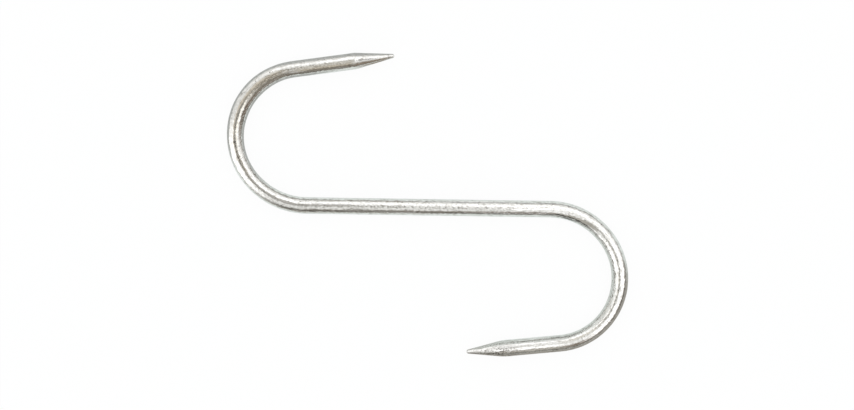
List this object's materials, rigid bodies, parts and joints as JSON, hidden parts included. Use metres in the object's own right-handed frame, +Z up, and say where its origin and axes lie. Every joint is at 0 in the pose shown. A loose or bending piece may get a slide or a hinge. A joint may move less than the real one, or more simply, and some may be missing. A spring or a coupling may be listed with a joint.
{
  "type": "s hook",
  "caption": "Pointed S hook of round bright steel wire, for hanging things from a rail; bends in one plane, ground ends.",
  "frame": {"origin": "under the middle of the hook's box, on the surface that it lies on", "axes": "+X along the shank from the upper bend to the lower one, +Y to the upper bend's arm, +Z up off the surface"},
  "size_m": [0.12, 0.0897, 0.005],
  "materials": {
    "hook_steel": "bright drawn steel wire with fine lines along it, and ground points"
  },
  "bodies": {
    "root": {"s_hook": "hook_steel"}
  },
  "joints": []
}
